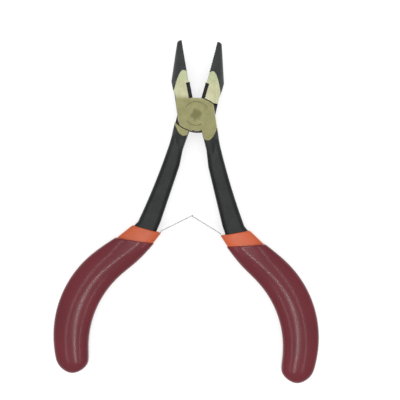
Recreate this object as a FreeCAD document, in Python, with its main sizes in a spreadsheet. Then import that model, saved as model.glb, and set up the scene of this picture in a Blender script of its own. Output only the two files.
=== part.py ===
"""Small spring-opened needle nose pliers: a lap joint, two forged levers, a rivet,
a pair of hooked leaf springs and double-dipped handles.

Every lever is drawn in its closed frame: the pivot axis is Z, +Y runs to the nose,
the jaw is on the -X side, the handle on the +X side, and Z = 0 is the lap plane.
The front set is then opened by half the opening angle. The rear set is the same
forging turned over about Y and opened the other way. Millimetres and degrees.
"""
import FreeCAD, Part
import math
import os
import re
import Sketcher

Vector = FreeCAD.Vector

SIZES = [
    # joint
    ("joint_thick", 8.0, "thickness of the joint and of the jaw roots"),
    ("open_angle", 27.0, "angle between the levers when the shoulders stop them"),
    ("lap_gap", 0.02, "how far each half lap stands back from the lap plane"),
    ("meet_gap", 0.03, "how far each jaw stands back from the centre plane when closed"),
    ("disc_half", 6.84, "half width of the joint disc"),
    ("disc_arc_x", 0.614, "disc edge arc centre, out from the pivot"),
    ("disc_arc_y", 3.663, "disc edge arc centre, down from the pivot"),
    ("disc_radius", 9.8, "radius of the disc's top and bottom edges"),
    ("disc_corner", 0.7, "rounding of the disc's free corners"),
    ("shoulder_gap", 0.12, "clearance between a disc edge and its shoulder"),
    ("pocket_reach", 8.5, "how far the lap pocket runs out past the lever"),
    ("shoulder_end", 4.9, "where the jaw shoulder leaves the disc arc"),
    ("shoulder_flare", 6.0, "height at which the jaw shoulder runs out"),
    ("rim_chamfer", 0.25, "chamfer round the ground face of the disc"),
    # jaw
    ("jaw_length", 27.95, "pivot to nose"),
    ("jaw_side", 6.5, "half width over the closed jaws at their widest"),
    ("jaw_widest", 11.4, "height of the widest place"),
    ("jaw_waist", 6.2, "half width just below it"),
    ("jaw_waist_height", 9.3, "height of the waist"),
    ("joint_side", 6.75, "half width of the joint at the pivot"),
    ("cutter_top", 11.9, "upper end of the cutting edges"),
    ("cutter_width", 1.45, "width of each cutter bevel in plan"),
    ("cutter_edge", 0.4, "half thickness left at the cutting edge"),
    ("grip_start", 12.35, "lower end of the gripping face"),
    ("grip_relief", 0.42, "how far the gripping faces part at their lower end"),
    ("cone_low_x", 8.2, "jaw cone, lower point of its side line"),
    ("cone_low_y", 9.2, "jaw cone, height of that point"),
    ("cone_high_x", 1.9, "jaw cone, upper point of its side line"),
    ("cone_high_y", 27.1, "jaw cone, height of that point"),
    ("cone_axis_low", 2.27, "jaw cone axis, offset at the lower point"),
    ("cone_axis_lean", 0.1073, "jaw cone axis, lean towards the centre per millimetre"),
    ("nose_flat", 0.85, "half width of the flat at the nose"),
    ("nose_round", 1.2, "rounding of the nose corner"),
    ("tooth_pitch", 1.0, "pitch of the gripping teeth"),
    ("tooth_depth", 0.26, "depth of the gripping teeth"),
    ("tooth_count", 12.0, "teeth in each jaw"),
    # handle root and bar
    ("root_in", 0.95, "inner side of the handle just below the disc"),
    ("root_out", 6.5, "outer side of the handle just below the disc"),
    ("root_top", 6.1, "how far below the pivot the disc side ends"),
    ("root_low", 15.0, "how far below the pivot the raised root ends"),
    ("root_axis", 2.6, "offset of the root cone's axis"),
    ("root_lift", 0.3, "how far that axis lies towards the disc's side"),
    ("root_wide", 5.73, "root cone radius at its top"),
    ("root_wide_y", 5.45, "depth of that radius"),
    ("root_mid", 3.7, "root cone radius where the disc side's ground flat ends"),
    ("root_mid_y", 9.92, "depth of that radius"),
    ("root_thin", 2.3, "root cone radius at its foot, inside the bar"),
    ("bar_thick", 5.4, "thickness of the handle bar"),
    ("bar_round", 1.7, "rounding of the bar's long edges"),
    ("bar_blend", 2.0, "blend radius at the kinks of the bar's outline"),
    ("dip_blend", 4.0, "blend radius at the kinks of the dips' outlines"),
    ("bar_top", 7.5, "depth of the bar's upper end, inside the root"),
    ("scallop_x", 1.3, "inner scallop below the root"),
    ("scallop_y", 12.8, "depth of the scallop"),
    ("waist_in", 0.78, "inner side of the bar at its nearest to the centre"),
    ("waist_y", 19.2, "depth of that place"),
    ("shank_in", 1.75, "inner side of the bar above the dip"),
    ("shank_in_y", 41.0, "depth of that place"),
    ("shank_out", 9.55, "outer side of the bar above the dip"),
    ("shank_out_y", 42.8, "depth of that place"),
    ("shank_bow", 262.0, "bow radius of the bar's outer side above the dip"),
    ("heel_start", 4.5, "start of the bar's flat behind the leaf's tail, from the bend"),
    ("heel_end", 12.5, "end of that flat"),
    ("bend_in", 8.9, "inner side of the bar where it bends back"),
    ("bend_in_y", 60.0, "depth of that place"),
    ("bend_out", 16.2, "outer side of the bar where it bends back"),
    ("bend_out_y", 55.0, "depth of that place"),
    ("bar_end_in", 15.7, "inner side of the bar at its end"),
    ("bar_end_in_y", 91.4, "depth of that place"),
    ("bar_end_out", 21.9, "outer side of the bar at its end"),
    ("bar_end_out_y", 92.6, "depth of that place"),
    ("bar_bow_in", 26.9, "bow radius of the bar's inner side"),
    ("bar_bow_out", 31.2, "bow radius of the bar's outer side"),
    ("bar_end_round", 3.4, "radius of the bar's end"),
    # inner dip
    ("sleeve_thick", 6.8, "thickness over the inner dip"),
    ("sleeve_round", 2.6, "rounding of the inner dip"),
    ("cuff_in", 0.35, "inner top corner of the cuff"),
    ("cuff_in_y", 44.5, "depth of that corner"),
    ("cuff_out", 11.2, "outer top corner of the cuff"),
    ("cuff_out_y", 44.7, "depth of that corner"),
    ("sleeve_bend_in", 7.2, "inner side of the inner dip where it bends back"),
    ("sleeve_bend_in_y", 58.9, "depth of that place"),
    ("sleeve_bend_out", 18.8, "outer side of the inner dip where it bends back"),
    ("sleeve_bend_out_y", 55.4, "depth of that place"),
    ("sleeve_end_in", 13.5, "inner side of the inner dip at its end"),
    ("sleeve_end_in_y", 95.6, "depth of that place"),
    ("sleeve_end_out", 23.4, "outer side of the inner dip at its end"),
    ("sleeve_end_out_y", 97.6, "depth of that place"),
    ("sleeve_end_round", 5.3, "radius of the inner dip's end"),
    ("neck_bow", 72.0, "bow radius of both dips' inner side above the bend"),
    # outer dip
    ("grip_thick", 8.0, "thickness over the outer dip"),
    ("grip_round", 3.3, "rounding of the outer dip"),
    ("grip_top_in", 1.75, "inner side of the outer dip at its edge"),
    ("grip_top_in_y", 48.9, "depth of that place"),
    ("grip_top_out", 15.9, "outer side of the outer dip at its edge"),
    ("grip_top_out_y", 50.7, "depth of that place"),
    ("grip_bend_in", 6.6, "inner side of the outer dip where it bends back"),
    ("grip_bend_in_y", 58.4, "depth of that place"),
    ("grip_bend_out", 19.7, "outer side of the outer dip where it bends back"),
    ("grip_bend_out_y", 55.1, "depth of that place"),
    ("grip_end_in", 12.6, "inner side of the outer dip at its end"),
    ("grip_end_in_y", 96.7, "depth of that place"),
    ("grip_end_out", 24.7, "outer side of the outer dip at its end"),
    ("grip_end_out_y", 98.8, "depth of that place"),
    ("grip_end_round", 6.45, "radius of the outer dip's end"),
    ("grip_bow_in", 34.9, "bow radius of both dips' inner side"),
    ("grip_bow_out", 38.2, "bow radius of both dips' outer side"),
    # pivot rivet
    ("rivet_radius", 2.0, "shank of the pivot rivet"),
    ("rivet_head", 2.6, "radius of its countersunk heads"),
    ("rivet_sink", 1.0, "depth of the heads"),
    ("running_gap", 0.04, "radial clearance of the rivet in the rear lever"),
    ("press_gap", 0.0, "radial clearance of the rivet in the front lever"),
    # leaf springs
    ("leaf_thick", 0.35, "thickness of the spring strip"),
    ("leaf_width", 3.6, "width of the spring strip"),
    ("leaf_root_x", 0.62, "bend of the leaf, out from the centre plane when closed"),
    ("leaf_root_y", 43.9, "depth of the bend"),
    ("leaf_reach", 12.1, "bend to hook"),
    ("leaf_open_tilt", 29.0, "rise of each blade above square when the tool is open"),
    ("leaf_gap", 0.08, "gap between a blade and its tail at the bend"),
    ("tongue_over", 0.9, "how far the tongue passes the hook"),
    ("tongue_length", 3.4, "length of the narrow tongue"),
    ("tongue_width", 1.4, "width of the tongue"),
    ("fork_length", 3.2, "depth of the fork's slot"),
    ("fork_slot", 1.9, "width of the fork's slot"),
    ("fork_over", 0.3, "how far the fork's prongs pass the hook"),
    ("tail_turn", 26.0, "turn of the tail away from the tool's axis"),
    ("tail_length", 11.0, "length of the tail inside the dip"),
    ("tack_radius", 0.8, "shank of the leaf's rivet"),
    ("tack_head", 1.3, "radius of its head"),
    ("tack_head_high", 0.3, "height of its head"),
    ("tack_depth", 3.0, "how deep its shank stands in the bar"),
    ("tack_place", 8.6, "distance of the rivet from the bend"),
]


def fill_sheet(document):
    """Writes the driving dimensions to a spreadsheet, one row each."""
    table = document.addObject("Spreadsheet::Sheet", "Sizes")
    for row, (alias, number, note) in enumerate(SIZES, start=1):
        table.set("A%d" % row, alias)
        table.set("B%d" % row, str(number))
        table.set("C%d" % row, note)
        table.setAlias("B%d" % row, alias)
    return table


document = FreeCAD.newDocument("needle_nose_pliers")
sheet = fill_sheet(document)
document.recompute()
ALIASES = {alias for alias, number, note in SIZES}


def bound(expression):
    """Puts the sheet's name before each alias in an expression."""
    def named(match):
        word = match.group(0)
        return "Sizes." + word if word in ALIASES else word
    return re.sub("[a-z_]+", named, expression)


def value(expression):
    """The number that an expression of aliases stands for."""
    return float(sheet.evalExpression(bound(expression)))


def bind(thing, prop, expression):
    thing.setExpression(prop, bound(expression))


def origin_feature(body, role):
    return next(item for item in body.Origin.OriginFeatures if item.Role == role)


def new_sketch(body, name, role="XY_Plane", offset=None):
    sketch = body.newObject("Sketcher::SketchObject", name)
    sketch.AttachmentSupport = (origin_feature(body, role), [""])
    sketch.MapMode = "FlatFace"
    if offset:
        bind(sketch, "AttachmentOffset.Base.z", offset)
    return sketch


def pin_point(sketch, edge, end, spot):
    """Holds one end of an edge at a pair of expressions."""
    for kind, expression in zip(("DistanceX", "DistanceY"), spot):
        rule = Sketcher.Constraint(kind, -1, 1, edge, end, value(expression))
        index = sketch.addConstraint(rule)
        bind(sketch, "Constraints[%d]" % index, expression)


def arc_between(first, last, radius):
    """The short arc from one point to another; a negative radius turns clockwise."""
    chord = last - first
    half = chord.Length / 2
    rise = math.sqrt(radius * radius - half * half)
    left = Vector(-chord.y, chord.x, 0).normalize()
    side = 1 if radius > 0 else -1
    centre = (first + last) / 2 + left * (rise * side)
    start, stop = (first, last) if radius > 0 else (last, first)
    angles = [math.atan2(p.y - centre.y, p.x - centre.x) for p in (start, stop)]
    circle = Part.Circle(centre, Vector(0, 0, 1), abs(radius))
    return Part.ArcOfCircle(circle, angles[0], angles[1])


def closed_outline(sketch, corners):
    """A loop of corners (x, y, radius of the arc to the next corner or None)."""
    spots = [(corner[0], corner[1]) for corner in corners]
    points = [Vector(value(x), value(y), 0) for x, y in spots]
    ends = []
    for index, corner in enumerate(corners):
        first = points[index]
        last = points[(index + 1) % len(points)]
        if corner[2] is None:
            edge = sketch.addGeometry(Part.LineSegment(first, last))
            ends.append((edge, 1, 2))
            continue
        radius = value(corner[2])
        edge = sketch.addGeometry(arc_between(first, last, radius))
        ends.append((edge, 1, 2) if radius > 0 else (edge, 2, 1))
        size = corner[2] if radius > 0 else "0 - ( " + corner[2] + " )"
        index = sketch.addConstraint(Sketcher.Constraint("Radius", edge, abs(radius)))
        bind(sketch, "Constraints[%d]" % index, size)
    for index, (edge, start, stop) in enumerate(ends):
        following = ends[(index + 1) % len(ends)]
        join = Sketcher.Constraint("Coincident", edge, stop, following[0], following[1])
        sketch.addConstraint(join)
        pin_point(sketch, edge, start, spots[index])


def construction_line(sketch, first, last):
    """A line that features can use as the sketch's Axis0."""
    points = [Vector(value(x), value(y), 0) for x, y in (first, last)]
    edge = sketch.addGeometry(Part.LineSegment(points[0], points[1]), True)
    pin_point(sketch, edge, 1, first)
    pin_point(sketch, edge, 2, last)


def pad(body, sketch, length, name, both_ways=True):
    feature = body.newObject("PartDesign::Pad", name)
    feature.Profile = sketch
    bind(feature, "Length", length)
    feature.Midplane = both_ways
    return feature


def pocket(body, sketch, length, name):
    """A pocket cut the same way to both sides of its sketch."""
    feature = body.newObject("PartDesign::Pocket", name)
    feature.Profile = sketch
    bind(feature, "Length", length)
    feature.Midplane = True
    return feature


def turned(body, kind, sketch, axis, name):
    feature = body.newObject("PartDesign::" + kind, name)
    feature.Profile = sketch
    feature.ReferenceAxis = axis
    feature.Angle = 360
    return feature


def new_body(name):
    return document.addObject("PartDesign::Body", name)


def fillet(body, feature, radius, name, wanted):
    """Rounds the edges of a feature that a test picks out."""
    document.recompute()
    names = []
    for index, edge in enumerate(feature.Shape.Edges, start=1):
        ends = [edge.Vertexes[0].Point, edge.Vertexes[-1].Point]
        if wanted(*ends):
            names.append("Edge%d" % index)
    rounding = body.newObject("PartDesign::Fillet", name)
    rounding.Base = (feature, names)
    bind(rounding, "Radius", radius)
    return rounding


def soften(body, feature, top, kink_radius, radius):
    """Blends an outline's kinks, then rounds its long edges, leaving the top end flat."""
    below = 0.05 - value(top)
    same = 1e-6

    def kink(first, last):
        upright = abs(first.x - last.x) < same and abs(first.y - last.y) < same
        return upright and first.y < below - 1

    def long_edge(first, last):
        level = abs(first.z - last.z) < same
        return level and min(first.y, last.y) < below - 1

    blended = fillet(body, feature, kink_radius, "blend_" + body.Name, kink)
    return fillet(body, blended, radius, "rounding_" + body.Name, long_edge)


# the disc's edge: height of the arc at a given distance right of the pivot
DISC_TOP = "sqrt( disc_radius ^ 2 - ( %s + disc_arc_x ) ^ 2 ) - disc_arc_y"
DISC_CORNER_Y = DISC_TOP % "disc_half"

# the mating disc's arc centre, mirrored and turned by the opening angle
STOP_X = "( disc_arc_x * cos( open_angle ) - disc_arc_y * sin( open_angle ) )"
STOP_Y = "( 0 - disc_arc_x * sin( open_angle ) - disc_arc_y * cos( open_angle ) )"
STOP_RADIUS = "( disc_radius + shoulder_gap )"
STOP_TOP = STOP_Y + " + sqrt( " + STOP_RADIUS + " ^ 2 - ( %s - " + STOP_X + " ) ^ 2 )"


def head_outline(body):
    """Jaw, joint disc and handle root in plan."""
    sketch = new_sketch(body, "head_outline_" + body.Name)
    closed_outline(sketch, [
        ("0 - meet_gap", DISC_TOP % "0", None),
        ("0 - meet_gap", "cutter_top", None),
        ("0 - grip_relief", "grip_start", None),
        ("0 - meet_gap", "jaw_length", None),
        ("0 - jaw_side", "jaw_length", None),
        ("0 - jaw_side", "jaw_widest", None),
        ("0 - jaw_waist", "jaw_waist_height", None),
        ("0 - joint_side", "0", None),
        ("0 - disc_half", "0 - ( " + DISC_CORNER_Y + " )", "disc_radius"),
        ("root_in", "0 - ( " + DISC_TOP % "root_in" + " )", None),
        ("scallop_x", "0 - scallop_y", None),
        ("scallop_x", "0 - root_low", None),
        ("root_out", "0 - root_low", None),
        ("root_out", "0 - root_top", None),
        ("joint_side", "0", None),
        ("disc_half", DISC_CORNER_Y, "disc_radius"),
    ])
    return sketch


def jaw_cone(body):
    """Turns the jaw's round back, which runs out into the ground flats."""
    sketch = new_sketch(body, "jaw_cone_" + body.Name)
    axis_top = "( 0 - cone_axis_low + cone_axis_lean * ( jaw_length - cone_low_y ) )"
    far_rise = "( jaw_length + 4 )"
    axis_far = "( 0 - cone_axis_low + cone_axis_lean * ( jaw_length + 4 - cone_low_y ) )"
    closed_outline(sketch, [
        ("0 - cone_low_x", "cone_low_y", None),
        ("0 - cone_high_x", "cone_high_y", "0 - nose_round"),
        ("0 - nose_flat", "jaw_length", None),
        (axis_top, "jaw_length", None),
        (axis_far, far_rise, None),
        ("0 - 2 * jaw_side", far_rise, None),
        ("0 - 2 * jaw_side", "cone_low_y", None),
    ])
    construction_line(sketch, ("0 - cone_axis_low", "cone_low_y"), (axis_far, far_rise))
    return turned(body, "Groove", sketch, (sketch, ["Axis0"]), "round_back_" + body.Name)


def root_cone(body):
    """Tapers the handle root down from the ground flat into the bar. Its axis is off the
    lap plane, so the flat is shorter on the shoulder's side than on the disc's."""
    sketch = new_sketch(body, "root_cone_" + body.Name, offset="root_lift")
    far = "( root_axis + 2 * jaw_side )"
    below = "( 0 - root_low - 1 )"
    closed_outline(sketch, [
        ("root_axis + root_wide", "0 - root_wide_y", None),
        ("root_axis + root_mid", "0 - root_mid_y", None),
        ("root_axis + root_thin", below, None),
        (far, below, None),
        (far, "0 - root_wide_y", None),
    ])
    construction_line(sketch, ("root_axis", "0"), ("root_axis", below))
    return turned(body, "Groove", sketch, (sketch, ["Axis0"]), "root_sweep_" + body.Name)


def lap_pocket(body):
    """Clears the other lever's half of the joint, between the two shoulders."""
    depth = "( joint_thick / 2 + 1 )"
    middle = "( lap_gap - ( joint_thick / 2 + 1 ) / 2 )"
    sketch = new_sketch(body, "lap_" + body.Name, offset=middle)
    level = STOP_TOP % "1"
    jaw_end = STOP_TOP % "( 0 - shoulder_end )"
    handle_end = "0 - ( " + STOP_TOP % "( 0 - pocket_reach )" + " )"
    closed_outline(sketch, [
        ("pocket_reach", level, None),
        ("1", level, STOP_RADIUS),
        ("0 - shoulder_end", jaw_end, None),
        ("0 - pocket_reach", "shoulder_flare", None),
        ("0 - pocket_reach", "0 - ( " + level + " )", None),
        ("0 - 1", "0 - ( " + level + " )", STOP_RADIUS),
        ("pocket_reach", handle_end, None),
    ])
    return pocket(body, sketch, depth, "half_lap_" + body.Name)


def cutter_bevels(body):
    """Bevels the cutting edge from the front and from the back."""
    low = DISC_TOP % "0"
    middle = "0 - ( cutter_top + " + low + " ) / 2"
    length = "cutter_top - ( " + low + " )"
    face = "joint_thick / 2"
    slope = "( ( cutter_width - meet_gap ) / ( joint_thick / 2 - cutter_edge ) )"
    for side, sign in (("front", ""), ("back", "0 - ")):
        sketch = new_sketch(body, side + "_bevel_outline_" + body.Name, "XZ_Plane", middle)
        closed_outline(sketch, [
            ("0 - cutter_width - " + slope, sign + "( " + face + " + 1 )", None),
            ("0 - meet_gap", sign + "cutter_edge", None),
            ("1", sign + "cutter_edge", None),
            ("1", sign + "( " + face + " + 1 )", None),
        ])
        pocket(body, sketch, length, side + "_bevel_" + body.Name)


def teeth(body):
    """Cuts the gripping teeth along the leaning jaw face."""
    sketch = new_sketch(body, "tooth_" + body.Name)
    lean = "( ( grip_relief - meet_gap ) / ( jaw_length - grip_start ) )"
    face = "( 0 - grip_relief + " + lean + " * %s )"
    start = "tooth_pitch"
    peak = "( 1.5 * tooth_pitch )"
    closed_outline(sketch, [
        (face % start + " + 1", "grip_start + " + start, None),
        (face % peak + " + 1", "grip_start + 2 * tooth_pitch", None),
        (face % peak, "grip_start + 1.95 * tooth_pitch", None),
        (face % peak + " - tooth_depth", "grip_start + " + peak, None),
        (face % start, "grip_start + 1.05 * tooth_pitch", None),
    ])
    construction_line(sketch, ("0 - grip_relief", "grip_start"), ("0 - meet_gap", "jaw_length"))
    tooth = pocket(body, sketch, "2 * joint_thick", "first_tooth_" + body.Name)
    row = body.newObject("PartDesign::LinearPattern", "tooth_row_" + body.Name)
    row.Originals = [tooth]
    row.Direction = (sketch, ["Axis0"])
    bind(row, "Length", "( tooth_count - 1 ) * tooth_pitch")
    row.Occurrences = round(value("tooth_count"))
    body.Tip = row
    return row


def rivet_hole(body, gap):
    """Bores the lever for the rivet, with the countersink in its ground face."""
    sketch = new_sketch(body, "rivet_hole_" + body.Name, "XZ_Plane")
    face = "joint_thick / 2"
    wall = "rivet_radius + " + gap
    mouth = "rivet_head + " + gap
    closed_outline(sketch, [
        ("0", "0 - " + face + " - 1", None),
        (wall, "0 - " + face + " - 1", None),
        (wall, face + " - rivet_sink", None),
        (mouth, face, None),
        (mouth, face + " + 1", None),
        ("0", face + " + 1", None),
    ])
    return turned(body, "Groove", sketch, (sketch, ["V_Axis"]), "rivet_bore_" + body.Name)


def round_corners(body, blank):
    """Rounds the disc's two free corners."""
    side = value("disc_half")
    height = value(DISC_CORNER_Y)
    same = 1e-6

    def corner(first, last):
        upright = abs(first.x - last.x) < same and abs(first.y - last.y) < same
        return upright and abs(abs(first.x) - side) < same and abs(abs(first.y) - height) < same

    return fillet(body, blank, "disc_corner", "disc_corners_" + body.Name, corner)


def chamfer_rim(body, feature):
    """Breaks the ground face's edge along the disc's two arcs."""
    document.recompute()
    face = value("joint_thick / 2")
    radius = value("disc_radius")
    names = []
    for index, edge in enumerate(feature.Shape.Edges, start=1):
        round_edge = edge.Curve.TypeId == "Part::GeomCircle" and abs(edge.Curve.Radius - radius) < 1e-6
        if round_edge and abs(edge.Vertexes[0].Z - face) < 1e-6:
            names.append("Edge%d" % index)
    rim = body.newObject("PartDesign::Chamfer", "rim_" + body.Name)
    rim.Base = (feature, names)
    bind(rim, "Size", "rim_chamfer")
    return rim


def lever_head(name, gap):
    """The forged end: jaw, half of the lap joint and handle root."""
    body = new_body(name)
    blank = pad(body, head_outline(body), "joint_thick", "blank_" + name)
    round_corners(body, blank)
    jaw_cone(body)
    root_cone(body)
    chamfer_rim(body, lap_pocket(body))
    cutter_bevels(body)
    rivet_hole(body, gap)
    teeth(body)
    return body


def turned_point(along, across, angle):
    """A place on a strip that starts at the leaf's bend and points at an angle to X."""
    x = "leaf_root_x + ( %s ) * cos( %s ) - ( %s ) * sin( %s )" % (along, angle, across, angle)
    y = "0 - leaf_root_y + ( %s ) * sin( %s ) + ( %s ) * cos( %s )" % (along, angle, across, angle)
    return x, y


def tail_point(along, across):
    """A place on the leaf's tail: across is positive towards the bar."""
    return turned_point(along, across, "( tail_turn - 90 )")


def blade_point(along, across):
    """A place on the leaf's blade, with the tool open."""
    return turned_point(along, across, "( 180 - leaf_open_tilt - open_angle / 2 )")


def handle_bar(name):
    """The forged bar that runs down inside the dipped handle."""
    body = new_body(name)
    sketch = new_sketch(body, "bar_outline_" + name)
    closed_outline(sketch, [
        ("root_in", "0 - bar_top", None),
        ("scallop_x", "0 - scallop_y", None),
        ("waist_in", "0 - waist_y", None),
        ("shank_in", "0 - shank_in_y", None),
        tail_point("heel_start", "leaf_thick / 2") + (None,),
        tail_point("heel_end", "leaf_thick / 2") + (None,),
        ("bend_in", "0 - bend_in_y", "0 - bar_bow_in"),
        ("bar_end_in", "0 - bar_end_in_y", "bar_end_round"),
        ("bar_end_out", "0 - bar_end_out_y", "bar_bow_out"),
        ("bend_out", "0 - bend_out_y", None),
        ("shank_out", "0 - shank_out_y", "0 - shank_bow"),
        ("root_out - 0.05", "0 - scallop_y", None),
        ("root_out - 0.05", "0 - bar_top", None),
    ])
    blank = pad(body, sketch, "bar_thick", "bar_blank_" + name)
    soften(body, blank, "bar_top", "bar_blend", "bar_round")
    return body


def sleeve_blank(name):
    """The inner dip before its inside is taken out."""
    body = new_body(name)
    sketch = new_sketch(body, "sleeve_outline_" + name)
    closed_outline(sketch, [
        ("cuff_in", "0 - cuff_in_y", "neck_bow"),
        ("sleeve_bend_in", "0 - sleeve_bend_in_y", "0 - grip_bow_in"),
        ("sleeve_end_in", "0 - sleeve_end_in_y", "sleeve_end_round"),
        ("sleeve_end_out", "0 - sleeve_end_out_y", "grip_bow_out"),
        ("sleeve_bend_out", "0 - sleeve_bend_out_y", None),
        ("cuff_out", "0 - cuff_out_y", None),
    ])
    blank = pad(body, sketch, "sleeve_thick", "sleeve_pad_" + name)
    soften(body, blank, "cuff_out_y", "dip_blend", "sleeve_round")
    return body


def grip_blank(name):
    """The outer dip before the inner dip is taken out of it."""
    body = new_body(name)
    sketch = new_sketch(body, "grip_outline_" + name)
    closed_outline(sketch, [
        ("grip_top_in", "0 - grip_top_in_y", "neck_bow"),
        ("grip_bend_in", "0 - grip_bend_in_y", "0 - grip_bow_in"),
        ("grip_end_in", "0 - grip_end_in_y", "grip_end_round"),
        ("grip_end_out", "0 - grip_end_out_y", "grip_bow_out"),
        ("grip_bend_out", "0 - grip_bend_out_y", None),
        ("grip_top_out", "0 - grip_top_out_y", None),
    ])
    blank = pad(body, sketch, "grip_thick", "grip_pad_" + name)
    soften(body, blank, "grip_top_out_y", "dip_blend", "grip_round")
    return body


def strip_sketch(body, name, spot, start, end, half):
    """A rectangle along a leaf, from start to end and half to either side."""
    sketch = new_sketch(body, name + "_" + body.Name)
    minus = "0 - " + half
    closed_outline(sketch, [
        spot(start, minus) + (None,),
        spot(end, minus) + (None,),
        spot(end, half) + (None,),
        spot(start, half) + (None,),
    ])
    return sketch


def leaf_tail(name):
    """The part of a leaf that lies on the bar, inside the dip."""
    body = new_body(name)
    sketch = strip_sketch(body, "strip", tail_point, "leaf_gap", "tail_length", "leaf_thick / 2")
    pad(body, sketch, "leaf_width", "strip_pad_" + name)
    return body


def forked_blade(name):
    """The blade with an open slot at its end."""
    body = new_body(name)
    end = "leaf_reach + fork_over"
    root = "leaf_reach - fork_length"
    sketch = strip_sketch(body, "strip", blade_point, "leaf_gap", end, "leaf_thick / 2")
    pad(body, sketch, "leaf_width", "strip_pad_" + name)
    slot = strip_sketch(body, "slot", blade_point, root, end + " + 1", "leaf_thick")
    pocket(body, slot, "fork_slot", "slot_cut_" + name)
    return body


def tongued_blade(name):
    """The blade with a narrow tongue that hooks through the fork."""
    body = new_body(name)
    shoulder = "leaf_reach + tongue_over - tongue_length"
    end = "leaf_reach + tongue_over"
    sketch = strip_sketch(body, "strip", blade_point, "leaf_gap", shoulder, "leaf_thick / 2")
    pad(body, sketch, "leaf_width", "strip_pad_" + name)
    tongue = strip_sketch(body, "tongue", blade_point, shoulder, end, "leaf_thick / 2")
    pad(body, tongue, "tongue_width", "tongue_pad_" + name)
    return body


def leaf_rivet(name):
    """The small rivet that holds a leaf's tail to the bar."""
    body = new_body(name)
    sketch = new_sketch(body, "rivet_profile_" + name)
    seat = "0 - leaf_thick / 2"
    crown = seat + " - tack_head_high"
    closed_outline(sketch, [
        tail_point("tack_place", crown) + (None,),
        tail_point("tack_place + 0.7 * tack_head", crown) + (None,),
        tail_point("tack_place + tack_head", seat) + (None,),
        tail_point("tack_place + tack_radius", seat) + (None,),
        tail_point("tack_place + tack_radius", "tack_depth") + (None,),
        tail_point("tack_place", "tack_depth") + (None,),
    ])
    axis = [tail_point("tack_place", crown), tail_point("tack_place", "tack_depth")]
    construction_line(sketch, axis[0], axis[1])
    turned(body, "Revolution", sketch, (sketch, ["Axis0"]), "turned_" + name)
    return body


def pivot_rivet(name):
    """The joint's rivet, with a countersunk head in each lever."""
    body = new_body(name)
    sketch = new_sketch(body, "rivet_profile_" + name, "XZ_Plane")
    face = "joint_thick / 2"
    neck = face + " - rivet_sink"
    closed_outline(sketch, [
        ("0", "0 - " + face, None),
        ("rivet_head", "0 - " + face, None),
        ("rivet_radius", "0 - ( " + neck + " )", None),
        ("rivet_radius", neck, None),
        ("rivet_head", face, None),
        ("0", face, None),
    ])
    turned(body, "Revolution", sketch, (sketch, ["V_Axis"]), "turned_" + name)
    return body


def joined(kind, name, pieces):
    """A Part boolean: MultiFuse of the pieces, or Cut of the second from the first."""
    result = document.addObject("Part::" + kind, name)
    if kind == "Cut":
        result.Base, result.Tool = pieces
    else:
        result.Shapes = pieces
    return result


def opened(side):
    """Where the closed frame goes: the rear set is turned over, and both are opened."""
    half = value("open_angle / 2")
    lift = Vector(0, 0, value("joint_thick / 2"))
    swing = FreeCAD.Rotation(Vector(0, 0, 1), half if side == "front" else -half)
    turn_over = FreeCAD.Rotation(Vector(0, 1, 0), 0 if side == "front" else 180)
    return FreeCAD.Placement(lift, swing * turn_over)


def half_of_the_tool(side, hand, gap, make_blade):
    """One lever with everything that is fixed to its handle, and its spring blade."""
    head = lever_head(side + "_head", gap)
    bar = handle_bar(side + "_bar")
    tail = leaf_tail(hand + "_tail_strip")
    tack = leaf_rivet(hand + "_spring_rivet")
    blade = make_blade(hand + "_spring_blade")
    inner = sleeve_blank(hand + "_sleeve_blank")
    outer = grip_blank(hand + "_grip_blank")
    for body in (head, bar, tail, tack, blade, inner, outer):
        body.Placement = opened(side)
    forging = joined("MultiFuse", side + "_forging", [head, bar])
    core = joined("MultiFuse", hand + "_core", [bar, tail, tack])
    return {
        side + "_lever": joined("Cut", side + "_lever", [forging, tack]),
        hand + "_spring_tail": joined("Cut", hand + "_spring_tail", [tail, tack]),
        hand + "_spring_rivet": tack,
        hand + "_spring_blade": blade,
        hand + "_inner_sleeve": joined("Cut", hand + "_inner_sleeve", [inner, core]),
        hand + "_grip": joined("Cut", hand + "_grip", [outer, inner]),
    }


parts = {}
parts.update(half_of_the_tool("front", "right", "press_gap", forked_blade))
parts.update(half_of_the_tool("rear", "left", "running_gap", tongued_blade))
parts["pivot_rivet"] = pivot_rivet("pivot_rivet")
parts["pivot_rivet"].Placement = opened("front")
document.recompute()

for item in document.Objects:
    broken = [state for state in item.State if state in ("Invalid", "Error")]
    if broken:
        raise RuntimeError("%s is %s" % (item.Name, broken))

for node, item in parts.items():
    item.Label = node
    shape = item.Shape
    if shape.isNull() or not shape.isValid() or len(shape.Solids) != 1:
        raise RuntimeError("%s has no single valid solid" % node)
    print("%-20s %9.2f mm3" % (node, shape.Volume))

os.makedirs("parts", exist_ok=True)
for node, item in parts.items():
    item.Shape.exportStep("parts/%s.step" % node)
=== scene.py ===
"""Looks of the small spring-opened needle nose pliers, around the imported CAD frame.

Shapes are drawn as in the CAD: in each lever's closed frame, in millimetres, with the
pivot axis as Z, +Y to the nose and the handle on the +X side. closed_frame() then opens
them. The levers and rivets are the CAD's own; the dips and leaf springs are drawn here.
"""
import math

import bmesh
import bpy
from mathutils import Matrix, Vector


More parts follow.
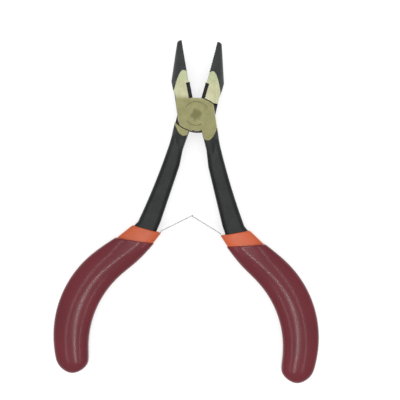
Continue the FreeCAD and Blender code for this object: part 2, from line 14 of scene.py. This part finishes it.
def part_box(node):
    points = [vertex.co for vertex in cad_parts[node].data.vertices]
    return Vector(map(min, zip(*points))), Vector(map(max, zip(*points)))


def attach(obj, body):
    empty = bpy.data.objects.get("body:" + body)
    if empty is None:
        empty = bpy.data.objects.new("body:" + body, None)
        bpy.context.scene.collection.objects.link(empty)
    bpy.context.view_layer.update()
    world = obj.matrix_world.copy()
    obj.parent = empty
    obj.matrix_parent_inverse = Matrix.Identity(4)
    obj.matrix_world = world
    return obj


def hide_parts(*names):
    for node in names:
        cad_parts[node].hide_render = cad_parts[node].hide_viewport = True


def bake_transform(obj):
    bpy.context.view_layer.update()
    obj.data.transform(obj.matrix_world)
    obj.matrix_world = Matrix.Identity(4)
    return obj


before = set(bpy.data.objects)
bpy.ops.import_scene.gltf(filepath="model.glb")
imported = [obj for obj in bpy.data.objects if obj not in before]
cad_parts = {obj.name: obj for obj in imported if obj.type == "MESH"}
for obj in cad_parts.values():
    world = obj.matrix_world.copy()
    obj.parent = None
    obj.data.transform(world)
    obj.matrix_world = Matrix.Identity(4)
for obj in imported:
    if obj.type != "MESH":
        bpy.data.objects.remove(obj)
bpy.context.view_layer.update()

MM = 0.001
HALF_OPEN = math.radians(13.5)
JOINT_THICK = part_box("front_lever")[1].z / MM
MIDDLE = JOINT_THICK / 2
SIDES = {
    "right": {"half": "front_half", "blade": "right_blade", "turn_over": False},
    "left": {"half": "rear_half", "blade": "left_blade", "turn_over": True},
}


# ---------------------------------------------------------------- places and curves

ARC_STEPS = 48
LINE_STEPS = 24


def closed_frame(hand):
    """From a lever's closed frame, in millimetres, to the row frame, in metres."""
    over = SIDES[hand]["turn_over"]
    lift = Matrix.Translation((0, 0, MIDDLE * MM))
    swing = Matrix.Rotation(-HALF_OPEN if over else HALF_OPEN, 4, "Z")
    turn = Matrix.Rotation(math.pi if over else 0, 4, "Y")
    return lift @ swing @ turn @ Matrix.Scale(MM, 4)


def polar(radius, angle):
    return Vector((radius * math.cos(angle), radius * math.sin(angle)))


def arc(first, last, radius):
    """Points along the short arc between two points; a negative radius turns clockwise."""
    first = Vector(first)
    last = Vector(last)
    chord = last - first
    rise = math.sqrt(radius * radius - chord.length_squared / 4)
    left = Vector((-chord.y, chord.x)).normalized()
    centre = (first + last) / 2 + left * math.copysign(rise, radius)
    start = math.atan2(first.y - centre.y, first.x - centre.x)
    sweep = 2 * math.asin(chord.length / (2 * radius))
    angles = [start + sweep * step / ARC_STEPS for step in range(ARC_STEPS + 1)]
    return [centre + polar(abs(radius), angle) for angle in angles]


def line(first, last):
    return [Vector(first).lerp(Vector(last), step / LINE_STEPS) for step in range(LINE_STEPS + 1)]


def spaced(first, last, gaps):
    """Numbers from first to last, with that many equal gaps between them."""
    return [first + (last - first) * step / gaps for step in range(gaps + 1)]


def evenly(points, count):
    """The polyline's points again, count of them at equal steps along it."""
    lengths = [0.0]
    for first, last in zip(points, points[1:]):
        lengths.append(lengths[-1] + (last - first).length)
    result = []
    index = 0
    for goal in spaced(0.0, lengths[-1], count - 1):
        while index < len(points) - 2 and lengths[index + 1] < goal:
            index += 1
        span = lengths[index + 1] - lengths[index]
        share = (goal - lengths[index]) / span if span > 0 else 0
        result.append(points[index].lerp(points[index + 1], min(share, 1)))
    return result


def eased(points, passes):
    """Blends kinks by averaging each point with its neighbours; the ends stay."""
    for _ in range(passes):
        middle = [(a + 2 * b + c) / 4 for a, b, c in zip(points, points[1:], points[2:])]
        points = [points[0]] + middle + [points[-1]]
    return points


def between(pair, share):
    return pair[0] * (1 - share) + pair[1] * share


# ---------------------------------------------------------------- materials
# Noise scales are per metre and bump distances in metres. Heights up from the pivot
# and the rivet's sizes are in millimetres. Pairs run from dark to light or low to high.

BLACK_TONE = (0.02, 0.021, 0.022)
BAR_TONES = ((0.004, 0.005, 0.005), (0.010, 0.011, 0.011))
JAW_TONES = ((0.022, 0.024, 0.025), (0.036, 0.038, 0.038))
BAR_TO_JAW = (-20.0, 5.0)
# The jaws' ground steel tone with a painted reflection: a lighter lower band and a greener, darker
# upper band, meeting between two heights up from the pivot.
JAW_LOW_STEEL_AND_REFLECTION = (0.272, 0.272, 0.176)
JAW_HIGH_STEEL_AND_REFLECTION = (0.245, 0.262, 0.164)
JAW_REFLECTION_LOW_TO_HIGH = (11.3, 12.6)
JOINT_TONE = (0.153, 0.147, 0.073)
# A painted highlight for the disc's chamfered rim.
RIM_HIGHLIGHT_TONE = (0.50, 0.49, 0.32)
RIVET_TONE = (0.095, 0.091, 0.041)
MARK_TONE = (0.075, 0.072, 0.03)
CUTTER_TONE = (0.029, 0.026, 0.032)
SPRING_TONE = (0.28, 0.285, 0.285)
ORANGE_TONE = (0.47, 0.087, 0.028)
MAROON_TONE = (0.120, 0.012, 0.019)
RIVET_EDGE = (1.2, 2.6)
RIVET_WANDER = 1.9
GRAIN = (3500, 90, 90)
GRAIN_SHADES = ((0.86, 0.86, 0.84), (1.0, 1.0, 1.0))
DIP_SHADES = (0.88, 1.10)
NOISE_ROUGHNESS = 0.55


def new_material(name, colour, roughness, metallic=0.0, specular=0.5):
    material = bpy.data.materials.new(name)
    material.use_nodes = True
    shader = material.node_tree.nodes["Principled BSDF"]
    shader.inputs["Base Color"].default_value = (*colour, 1)
    shader.inputs["Roughness"].default_value = roughness
    shader.inputs["Metallic"].default_value = metallic
    shader.inputs["Specular IOR Level"].default_value = specular
    return material, material.node_tree.nodes, material.node_tree.links, shader


def object_place(nodes, links, stretch=(1, 1, 1)):
    """Object coordinates, which are row coordinates in metres, times the stretch."""
    coordinates = nodes.new("ShaderNodeTexCoord")
    mapping = nodes.new("ShaderNodeMapping")
    mapping.inputs["Scale"].default_value = stretch
    links.new(coordinates.outputs["Object"], mapping.inputs["Vector"])
    return mapping.outputs["Vector"]


def noise(nodes, links, place, scale, detail=3.0):
    texture = nodes.new("ShaderNodeTexNoise")
    texture.inputs["Scale"].default_value = scale
    texture.inputs["Detail"].default_value = detail
    texture.inputs["Roughness"].default_value = NOISE_ROUGHNESS
    links.new(place, texture.inputs["Vector"])
    return texture.outputs["Fac"]


def ramp(nodes, links, source, positions, colours):
    """A colour ramp from the first colour to the second, between two positions."""
    node = nodes.new("ShaderNodeValToRGB")
    for element, position, colour in zip(node.color_ramp.elements, positions, colours):
        element.position = position
        element.color = (*colour, 1)
    links.new(source, node.inputs["Fac"])
    return node.outputs["Color"]


def spread(nodes, links, source, low, high):
    """Maps 0..1 to low..high."""
    node = nodes.new("ShaderNodeMapRange")
    node.inputs["To Min"].default_value = low
    node.inputs["To Max"].default_value = high
    links.new(source, node.inputs["Value"])
    return node.outputs["Result"]


def smooth_step(nodes, links, source, low, high):
    """0 where the source is below low and 1 above high, both in millimetres."""
    node = nodes.new("ShaderNodeMapRange")
    node.interpolation_type = "SMOOTHSTEP"
    node.inputs["From Min"].default_value = low * MM
    node.inputs["From Max"].default_value = high * MM
    links.new(source, node.inputs["Value"])
    return node.outputs["Result"]


def height_step(nodes, links, place, low, high):
    """A smooth step between two heights up from the pivot."""
    parts = nodes.new("ShaderNodeSeparateXYZ")
    links.new(place, parts.inputs["Vector"])
    return smooth_step(nodes, links, parts.outputs["Y"], low, high)


def mixed(nodes, links, share, first, second, blend_type="MIX"):
    """A colour mix; share, first and second are sockets or values."""
    node = nodes.new("ShaderNodeMix")
    node.data_type = "RGBA"
    node.blend_type = blend_type
    sockets = (node.inputs[0], node.inputs[6], node.inputs[7])
    for socket, item in zip(sockets, (share, first, second)):
        if isinstance(item, bpy.types.NodeSocket):
            links.new(item, socket)
        else:
            socket.default_value = item if isinstance(item, float) else (*item, 1)
    return node.outputs[2]


def bump(nodes, links, shader, height, strength, distance):
    node = nodes.new("ShaderNodeBump")
    node.inputs["Strength"].default_value = strength
    node.inputs["Distance"].default_value = distance
    links.new(height, node.inputs["Height"])
    links.new(node.outputs["Normal"], shader.inputs["Normal"])


def black_oxide():
    """Forged steel with a black oxide finish: dull, slightly mottled and pitted."""
    material, nodes, links, shader = new_material(
        "black_oxide", BLACK_TONE, roughness=0.42, specular=0.24)
    place = object_place(nodes, links)
    mottle = noise(nodes, links, place, scale=260, detail=4)
    bar = ramp(nodes, links, mottle, (0.3, 0.7), BAR_TONES)
    jaw = ramp(nodes, links, mottle, (0.3, 0.7), JAW_TONES)
    up = height_step(nodes, links, place, *BAR_TO_JAW)
    dullness = spread(nodes, links, noise(nodes, links, place, scale=900), 0.34, 0.52)
    pits = noise(nodes, links, place, scale=1500, detail=5)
    links.new(mixed(nodes, links, up, bar, jaw), shader.inputs["Base Color"])
    links.new(dullness, shader.inputs["Roughness"])
    bump(nodes, links, shader, pits, strength=0.25, distance=0.00006)
    return material


def ground_steel(name, joint_tone, joint_to_jaw):
    """Bare ground steel under yellowish lacquer, with fine grinding lines. The joint's tone turns
    into the brighter one of the jaws between the two heights joint_to_jaw, and the jaws' tone
    carries a painted reflection: a lighter lower band and a greener, darker upper band."""
    material, nodes, links, shader = new_material(name, joint_tone, roughness=0.36, metallic=1.0)
    place = object_place(nodes, links)
    grain = noise(nodes, links, object_place(nodes, links, GRAIN), scale=1.0, detail=4)
    patches = noise(nodes, links, place, scale=420, detail=3)
    # Painted reflection: the jaws' lower band is lighter, the upper band greener and darker.
    reflection_band_up = height_step(nodes, links, place, *JAW_REFLECTION_LOW_TO_HIGH)
    jaw = mixed(nodes, links, reflection_band_up, JAW_LOW_STEEL_AND_REFLECTION, JAW_HIGH_STEEL_AND_REFLECTION)
    joint_up = height_step(nodes, links, place, *joint_to_jaw)
    tone = mixed(nodes, links, joint_up, joint_tone, jaw)
    shade = ramp(nodes, links, patches, (0.35, 0.65), GRAIN_SHADES)
    links.new(mixed(nodes, links, 1.0, tone, shade, "MULTIPLY"), shader.inputs["Base Color"])
    links.new(spread(nodes, links, grain, 0.30, 0.44), shader.inputs["Roughness"])
    bump(nodes, links, shader, grain, strength=0.12, distance=0.00002)
    return material


def worn_rivet():
    """The rivet's head, ground flush: dull in the middle, with an uneven edge."""
    material, nodes, links, shader = new_material(
        "rivet_face", RIVET_TONE, roughness=0.38, metallic=1.0)
    place = object_place(nodes, links, (1, 1, 0))
    distance = nodes.new("ShaderNodeVectorMath")
    distance.operation = "LENGTH"
    links.new(place, distance.inputs[0])
    uneven = nodes.new("ShaderNodeMath")
    uneven.operation = "ADD"
    links.new(distance.outputs["Value"], uneven.inputs[0])
    wander = noise(nodes, links, place, scale=520, detail=4)
    links.new(spread(nodes, links, wander, -RIVET_WANDER * MM, RIVET_WANDER * MM), uneven.inputs[1])
    edge = smooth_step(nodes, links, uneven.outputs["Value"], *RIVET_EDGE)
    links.new(mixed(nodes, links, edge, RIVET_TONE, JOINT_TONE), shader.inputs["Base Color"])
    return material


def dip_plastic(name, colour, roughness, specular, ripple):
    """Glossy dipped vinyl, with the slight waviness of a dipped skin."""
    material, nodes, links, shader = new_material(name, colour, roughness, specular=specular)
    shader.inputs["Subsurface Weight"].default_value = 0.08
    shader.inputs["Subsurface Scale"].default_value = 1.0 * MM
    shader.inputs["Subsurface Radius"].default_value = (1.0, 0.3, 0.2)
    place = object_place(nodes, links)
    clouds = noise(nodes, links, place, scale=60, detail=2)
    waves = noise(nodes, links, place, scale=95, detail=1.5)
    tones = [tuple(channel * shade for channel in colour) for shade in DIP_SHADES]
    links.new(ramp(nodes, links, clouds, (0.3, 0.7), tones), shader.inputs["Base Color"])
    bump(nodes, links, shader, waves, strength=0.35, distance=ripple)
    return material


BLACK = black_oxide()
DISC_SIDE = ground_steel("ground_disc_side", JOINT_TONE, (4.8, 7.2))
SHOULDER_SIDE = ground_steel("ground_shoulder_side", JOINT_TONE, (2.0, 4.5))
# The rim's chamfer faces get a painted highlight, much lighter than the joint.
RIM_HIGHLIGHT = ground_steel("ground_rim_painted_highlight", RIM_HIGHLIGHT_TONE, (6.2, 7.9))
RIVET = worn_rivet()
MARK = new_material("stamped_mark", MARK_TONE, roughness=0.5, metallic=0.6)[0]
CUTTER_BLACK = new_material("cutter_black", CUTTER_TONE, roughness=0.65, specular=0.12)[0]
SPRING = new_material("spring_strip", SPRING_TONE, roughness=0.35, metallic=1.0)[0]
ORANGE = dip_plastic("orange_dip", ORANGE_TONE, roughness=0.30, specular=0.30, ripple=0.00025)
MAROON = dip_plastic("maroon_dip", MAROON_TONE, roughness=0.19, specular=0.28, ripple=0.00012)


# ---------------------------------------------------------------- levers and rivets
# The cutter and web limits are in a lever's closed frame. A mark arc is its radius,
# first and last angle in degrees, and number of dashes.

FACE_SLACK = 0.03
# The rim's radius, depth and slopes pick the chamfer faces that get the painted highlight.
RIM_RADIUS = 7.7
RIM_DEPTH = 0.27
RIM_SLOPES = (0.5, 0.9)
CUTTER_LOW, CUTTER_TOP, CUTTER_BACK = 6.0, 11.95, -1.6
WEB_LOW, WEB_TOP, WEB_HALF = -7.6, -5.0, 3.6
LEVER_MATERIALS = (BLACK, DISC_SIDE, SHOULDER_SIDE, RIM_HIGHLIGHT, CUTTER_BLACK)
MARK_ARCS = ((4.6, 35, 145, 12), (3.9, 222, 300, 8))
MARK_SIZE = (0.24, 0.15)
MARK_HIGH = 0.012
MARK_TAPER = 0.8


def face_finish(centre, closed, steepness, disc_is_front):
    """The material of a lever's face, from its middle in the row frame and in the
    lever's closed frame, both in millimetres, and from how level the face is."""
    below_face = min(centre.z, JOINT_THICK - centre.z)
    if below_face < FACE_SLACK:
        return DISC_SIDE if (centre.z > MIDDLE) == disc_is_front else SHOULDER_SIDE
    on_rim = math.hypot(centre.x, centre.y) < RIM_RADIUS and below_face < RIM_DEPTH
    # Sloped faces of the disc's chamfered rim get the painted highlight.
    if on_rim and RIM_SLOPES[0] < steepness < RIM_SLOPES[1]:
        return RIM_HIGHLIGHT
    if CUTTER_LOW < closed.y < CUTTER_TOP and CUTTER_BACK < closed.x:
        return CUTTER_BLACK
    if WEB_LOW < closed.y < WEB_TOP and abs(closed.x) < WEB_HALF:
        return CUTTER_BLACK
    return BLACK


def finish_lever(node, hand):
    """Black all over, with ground faces where the forging is flat at full thickness."""
    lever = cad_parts[node]
    lever.data.materials.clear()
    for material in LEVER_MATERIALS:
        lever.data.materials.append(material)
    into_closed = closed_frame(hand).inverted()
    for face in lever.data.polygons:
        closed = into_closed @ face.center
        finish = face_finish(face.center / MM, closed, abs(face.normal.z), hand == "right")
        face.material_index = LEVER_MATERIALS.index(finish)


def finish_rivets():
    for node in ("pivot_rivet", "left_spring_rivet", "right_spring_rivet"):
        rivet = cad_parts[node]
        rivet.data.materials.clear()
        rivet.data.materials.append(RIVET if node == "pivot_rivet" else SPRING)


def dash_corners(radius, angle, level, size):
    """The four corners of one dash of an arc, at a level above the joint's face."""
    along_arc = polar(MARK_SIZE[0] * size, angle + math.pi / 2)
    outward = polar(MARK_SIZE[1] * size, angle)
    corners = []
    for a, b in ((-1, -1), (1, -1), (1, 1), (-1, 1)):
        spot = polar(radius, angle) + along_arc * a + outward * b
        corners.append((spot.x * MM, spot.y * MM, (JOINT_THICK + level) * MM))
    return corners


def make_marks():
    """Two arcs of plain stamped dashes round the rivet, on the disc's front face."""
    points = []
    faces = []
    for radius, first, last, count in MARK_ARCS:
        for degrees in spaced(first, last, count - 1):
            angle = math.radians(degrees)
            base = len(points)
            points += dash_corners(radius, angle, 0, 1)
            points += dash_corners(radius, angle, MARK_HIGH, MARK_TAPER)
            faces.append(tuple(base + corner for corner in (4, 5, 6, 7)))
            for low, high in ((0, 1), (1, 2), (2, 3), (3, 0)):
                faces.append((base + low, base + high, base + 4 + high, base + 4 + low))
    mesh = bpy.data.meshes.new("joint_marks")
    mesh.from_pydata(points, [], faces)
    mesh.materials.append(MARK)
    marks = bpy.data.objects.new("joint_marks", mesh)
    bpy.context.scene.collection.objects.link(marks)
    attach(marks, "front_half")


finish_lever("front_lever", "right")
finish_lever("rear_lever", "left")
make_marks()
finish_rivets()


# ---------------------------------------------------------------- dipped sleeves and grips
# inner and outer are a dip's two sides, from its mouth down. end is the radius of its
# round end, nub how far the tip is drawn out, and cap the length over which it thins.
# mouth and body are a squareness and a fall outside the ridges, and mouth_ends are the
# shares of the length over which the one turns into the other. Ridge places are shares
# of the half width; the pairs below are at the mouth and at the tip.

DIPS = {
    "inner_sleeve": {
        "inner": [
            ("arc", (0.35, -44.5), (7.2, -58.9), 72.0),
            ("arc", (7.2, -58.9), (13.5, -95.6), -34.9),
        ],
        "outer": [
            ("line", (11.2, -44.7), (18.8, -55.4)),
            ("arc", (18.8, -55.4), (23.4, -97.6), -38.2),
        ],
        "end": 5.3, "thick": 6.8, "nub": 0.0, "lip": 0.35, "cap": 5.0,
        "mouth": (5.0, 0.12), "mouth_ends": (0.085, 0.13), "body": (2.5, 0.36),
    },
    "grip": {
        "inner": [
            ("arc", (1.75, -48.9), (6.6, -58.4), 72.0),
            ("arc", (6.6, -58.4), (12.6, -96.7), -34.9),
        ],
        "outer": [
            ("line", (15.9, -50.7), (19.7, -55.1)),
            ("arc", (19.7, -55.1), (24.7, -98.8), -38.2),
        ],
        "end": 6.45, "thick": 8.0, "nub": 0.55, "lip": 0.3, "cap": 7.0,
        "mouth": (4.6, 0.20), "mouth_ends": (0.04, 0.16), "body": (2.8, 0.32),
    },
}
STATIONS = 110
CAP_STATIONS = 40
SECTION_POINTS = 144
LIP_STEPS = 4
EASING = 60
CAP_EASING = 40
CAP_ROUNDNESS = 2.4
TANGENT_STEPS = 8
DIP_CREASE = 50
OUTER_RIDGE = 0.35
INNER_RIDGE = (-0.34, 0.36)
OUTER_SOFTNESS = (0.12, 0.75)
INNER_SOFTNESS = (0.04, 0.24)
INNER_FALL = (1.0, 0.25)


def along(runs):
    points = []
    for kind, *values in runs:
        points += arc(*values) if kind == "arc" else line(*values)
    return points


def dip_sides(shape):
    """Matching points down the inner and the outer side, meeting at the dip's tip."""
    inner = along(shape["inner"])
    outer = along(shape["outer"])
    end = arc(inner[-1], outer[-1], shape["end"])
    half = len(end) // 2
    before = -1 - TANGENT_STEPS
    down = ((inner[-1] + outer[-1]) - (inner[before] + outer[before])).normalized()
    end = [
        point + down * shape["nub"] * (1 - abs(step - half) / half) ** 2
        for step, point in enumerate(end)
    ]
    ends = (end[:half + 1], list(reversed(end[half:])))
    sides = [
        eased(evenly(side, STATIONS), EASING) + evenly(cap, CAP_STATIONS)[1:]
        for side, cap in zip((inner, outer), ends)
    ]
    count = len(sides[0])
    round_tip = eased(sides[0] + list(reversed(sides[1][:-1])), CAP_EASING)
    return round_tip[:count], list(reversed(round_tip[count - 1:]))


def lean(distance, softness):
    """Nearly zero below zero and a straight climb above it."""
    return (distance + math.sqrt(distance * distance + softness * softness)) / 2


def section(share, shape):
    """A rounded section of half width 1 and half height 1, with the bar's two long
    edges showing through as soft ridges. Share runs from 0 at the mouth to 1 at the tip."""
    inner_ridge = between(INNER_RIDGE, share)
    first, last = shape["mouth_ends"]
    inward = max(min((share - first) / (last - first), 1), 0)
    squareness, ridge_fall = (between(pair, inward) for pair in zip(shape["mouth"], shape["body"]))
    outline = []
    for step in range(SECTION_POINTS):
        angle = 2 * math.pi * step / SECTION_POINTS
        x = math.cos(angle)
        height = max(1 - abs(x) ** squareness, 0) ** (1 / squareness)
        fall = lean(x - OUTER_RIDGE, between(OUTER_SOFTNESS, share))
        fall += lean(inner_ridge - x, between(INNER_SOFTNESS, share)) * between(INNER_FALL, share)
        height *= 1 - ridge_fall * fall
        outline.append((x, math.copysign(height, math.sin(angle))))
    return outline


def cap_height(left):
    """The share of full thickness left where that share of the cap's length is left."""
    return (1 - (1 - min(left, 1)) ** CAP_ROUNDNESS) ** (1 / CAP_ROUNDNESS)


def lip_rings(middle, half, height, down, lip, profile):
    """Rings that round the mouth's edge over, from its flat top outwards."""
    rings = []
    for step in range(LIP_STEPS):
        angle = math.pi / 2 * step / LIP_STEPS
        inset = lip * (1 - math.sin(angle))
        spot = middle + down * lip * (1 - math.cos(angle))
        wide = 1 - inset / half.length
        tall = 1 - inset / height
        rings.append([(*(spot + half * x * wide), z * height * tall) for x, z in profile])
    return rings


def dip_rings(shape):
    """Rings of points from the lip at the mouth almost to the tip, and the tip."""
    inner, outer = dip_sides(shape)
    middles = [(a + b) / 2 for a, b in zip(inner, outer)]
    halves = [(b - a) / 2 for a, b in zip(inner, outer)]
    tip = middles[-1]
    down = (middles[1] - middles[0]).normalized()
    rings = []
    for index, (middle, half) in enumerate(zip(middles, halves)):
        if index == 1:
            continue  # the lip's rings stand in for this one
        profile = section(min(index / STATIONS, 1), shape)
        height = shape["thick"] / 2 * cap_height((tip - middle).length / shape["cap"])
        if index == 0:
            rings += lip_rings(middle, half, height, down, shape["lip"], profile)
        else:
            rings.append([(*(middle + half * x), z * height) for x, z in profile])
    return rings[:-1], (*tip, 0.0)


def closed_skin(name, rings, tip):
    """A mesh from rings: flat across the first, and drawn to a point at the end."""
    points = [point for ring in rings for point in ring]
    count = len(rings[0])
    faces = []
    for base in range(0, len(points) - count, count):
        for step in range(count):
            low = base + step
            high = base + (step + 1) % count
            faces.append((low, high, count + high, count + low))
    last = len(points) - count
    points.append(tip)
    faces += [(last + step, last + (step + 1) % count, len(points) - 1) for step in range(count)]
    faces.append(tuple(reversed(range(count))))
    mesh = bpy.data.meshes.new(name)
    mesh.from_pydata(points, [], faces)
    mesh.validate()
    return mesh


def place_mesh(mesh, hand, material, name):
    """Puts a mesh from the closed frame in its place, with outward faces."""
    mesh.transform(closed_frame(hand))
    work = bmesh.new()
    work.from_mesh(mesh)
    bmesh.ops.recalc_face_normals(work, faces=work.faces)
    work.to_mesh(mesh)
    work.free()
    mesh.materials.append(material)
    piece = bpy.data.objects.new(name, mesh)
    bpy.context.scene.collection.objects.link(piece)
    return piece


def smooth(mesh, crease):
    """Smooth shading, but sharp at edges that turn by more than crease degrees."""
    for face in mesh.polygons:
        face.use_smooth = True
    mesh.set_sharp_from_angle(angle=math.radians(crease))


def make_dip(hand, kind, material):
    rings, tip = dip_rings(DIPS[kind])
    name = "%s_%s_skin" % (hand, kind)
    piece = place_mesh(closed_skin(name, rings, tip), hand, material, name)
    smooth(piece.data, DIP_CREASE)
    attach(piece, SIDES[hand]["half"])
    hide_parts("%s_%s" % (hand, kind))


for side_name in SIDES:
    make_dip(side_name, "inner_sleeve", ORANGE)
    make_dip(side_name, "grip", MAROON)


# ---------------------------------------------------------------- leaf springs
# Distances run along a leaf's middle line from its bend, below zero in the tail. A blade
# goes "over" past LEAF_REACH, and its last "inside" keeps only the levels between "from"
# and "to" on each side of its middle: the right is the fork, the left the tongue in it.

LEAF_ROOT = Vector((0.62, -43.9))
LEAF_THICK = 0.35
LEAF_WIDTH = 3.6
LEAF_EDGE = 0.06
LEAF_CREASE = 35
TAIL_ANGLE = math.radians(26 - 90)
BLADE_ANGLE = math.radians(180 - 29) - HALF_OPEN
TAIL_LENGTH = 11.0
LEAF_REACH = 12.1
BEND_RADIUS = 3.0
FLEX_HALF = 1.0
LEAF_ENDS = {
    "right": {"over": 0.3, "inside": 3.5, "from": 0.95, "to": LEAF_WIDTH / 2},
    "left": {"over": 0.9, "inside": 2.5, "from": 0.0, "to": 0.7},
}


def leaf_place(distance):
    """The point at a distance on the leaf's middle line."""
    turn = (BLADE_ANGLE - (TAIL_ANGLE + math.pi)) % (2 * math.pi)
    reach = BEND_RADIUS * math.tan(turn / 2)
    if abs(distance) >= reach:
        return LEAF_ROOT + polar(abs(distance), BLADE_ANGLE if distance > 0 else TAIL_ANGLE)
    start = LEAF_ROOT + polar(reach, TAIL_ANGLE)
    heading = TAIL_ANGLE + math.pi
    centre = start + polar(BEND_RADIUS, heading + math.pi / 2)
    heading += turn * (distance + reach) / (2 * reach)
    return centre - polar(BEND_RADIUS, heading + math.pi / 2)


def leaf_sheet(name, ends):
    """The leaf's middle sheet, with its end cut to the fork or the tongue."""
    tip = LEAF_REACH + ends["over"]
    narrow_from = tip - ends["inside"]
    stops = spaced(-TAIL_LENGTH, -2 * FLEX_HALF, 9)
    stops += spaced(-FLEX_HALF, FLEX_HALF, 16)
    stops += spaced(1.25 * FLEX_HALF, narrow_from, 10)
    cut_row = len(stops) - 1
    stops += spaced(narrow_from, tip, 8)[1:]
    cuts = {end[key] for end in LEAF_ENDS.values() for key in ("from", "to")}
    levels = sorted({side * cut for side in (-1, 1) for cut in cuts})
    points = [(*leaf_place(distance), level) for distance in stops for level in levels]
    faces = []
    for row in range(len(stops) - 1):
        for column in range(len(levels) - 1):
            middle = abs(levels[column] + levels[column + 1]) / 2
            if row >= cut_row and not ends["from"] <= middle <= ends["to"]:
                continue
            first = row * len(levels) + column
            faces.append((first, first + 1, first + 1 + len(levels), first + len(levels)))
    mesh = bpy.data.meshes.new(name)
    mesh.from_pydata(points, [], faces)
    return mesh


def thicken(piece):
    """Gives the sheet its thickness and worn edges, applied to its mesh."""
    shell = piece.modifiers.new("thickness", "SOLIDIFY")
    shell.thickness = LEAF_THICK * MM
    shell.offset = 0
    edge = piece.modifiers.new("edges", "BEVEL")
    edge.width = LEAF_EDGE * MM
    edge.segments = 2
    edge.limit_method = "ANGLE"
    edge.angle_limit = math.radians(60)
    shaped = piece.evaluated_get(bpy.context.evaluated_depsgraph_get())
    piece.data = bpy.data.meshes.new_from_object(shaped)
    piece.modifiers.clear()


def make_leaf(hand):
    """One strip from the tail in the dip, round the bend, to its hooked end."""
    name = "%s_leaf_strip" % hand
    piece = place_mesh(leaf_sheet(name, LEAF_ENDS[hand]), hand, SPRING, name)
    thicken(piece)
    smooth(piece.data, LEAF_CREASE)
    into = closed_frame(hand)
    start = into @ leaf_place(-FLEX_HALF).to_3d()
    end = into @ leaf_place(FLEX_HALF).to_3d()
    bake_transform(piece)
    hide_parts(hand + "_spring_tail", hand + "_spring_blade")


for side_name in SIDES:
    make_leaf(side_name)


# ---------------------------------------------------------------- floor, light and camera
# A strip light is its name, place across the tool and width in metres, and watts. The
# floor's gap and the camera's place are in millimetres.

FLOOR_SIZE = 6
FLOOR_GAP = 0.03
FLOOR_TONE = (0.45, 0.45, 0.45)
FLOOR_GLOW = 0.62
HORIZON_TONE = (0.62, 0.62, 0.62)
ZENITH_TONE = (1.0, 1.0, 1.0)
STRIP_LENGTH = 1.3
STRIP_HEIGHT = 1.2
STRIP_BACK = -0.05
STRIPS = (
    ("strip_left", -0.43, 0.05, 1.3),
    ("strip_middle", 0.0, 0.03, 3.6),
    ("strip_right", 0.43, 0.05, 1.3),
)
CAMERA_PLACE = (2.775, -30.63, 300.0)
CAMERA_TURN = 2.6
LENS = 73.2
SENSOR = 36


def make_floor():
    """A pale floor that glows a little, so that only contact shadows show on it."""
    material, nodes, links, shader = new_material(
        "pale_floor", FLOOR_TONE, roughness=0.9, specular=0.0)
    shader.inputs["Emission Color"].default_value = (1, 1, 1, 1)
    shader.inputs["Emission Strength"].default_value = FLOOR_GLOW
    bpy.ops.mesh.primitive_plane_add(size=FLOOR_SIZE, location=(0, 0, -FLOOR_GAP * MM))
    floor = bpy.context.object
    floor.name = "floor"
    floor.data.materials.append(material)


def make_world():
    """An even white room, darker towards and below the horizon."""
    world = bpy.data.worlds.new("studio")
    world.use_nodes = True
    nodes = world.node_tree.nodes
    links = world.node_tree.links
    coordinates = nodes.new("ShaderNodeTexCoord")
    parts = nodes.new("ShaderNodeSeparateXYZ")
    links.new(coordinates.outputs["Generated"], parts.inputs["Vector"])
    shade = ramp(nodes, links, parts.outputs["Z"], (0.0, 0.85), (HORIZON_TONE, ZENITH_TONE))
    links.new(shade, nodes["Background"].inputs["Color"])
    bpy.context.scene.world = world


def make_strip(name, x, width, watts):
    """A long softbox above the tool, tipped towards it."""
    lamp = bpy.data.lights.new(name, "AREA")
    lamp.shape = "RECTANGLE"
    lamp.size = width
    lamp.size_y = STRIP_LENGTH
    lamp.energy = watts
    light = bpy.data.objects.new(name, lamp)
    light.location = (x, STRIP_BACK, STRIP_HEIGHT)
    light.rotation_euler = (0, math.atan2(x, STRIP_HEIGHT), 0)
    bpy.context.scene.collection.objects.link(light)


def make_camera():
    """Straight down, turned a little, as the tool lies in the picture."""
    camera = bpy.data.cameras.new("camera")
    camera.lens = LENS
    camera.sensor_width = SENSOR
    holder = bpy.data.objects.new("camera", camera)
    holder.location = Vector(CAMERA_PLACE) * MM
    holder.rotation_euler = (0, 0, math.radians(CAMERA_TURN))
    bpy.context.scene.collection.objects.link(holder)
    bpy.context.scene.camera = holder


make_floor()
make_world()
for strip in STRIPS:
    make_strip(*strip)
make_camera()
bpy.context.scene.view_settings.view_transform = "Standard"
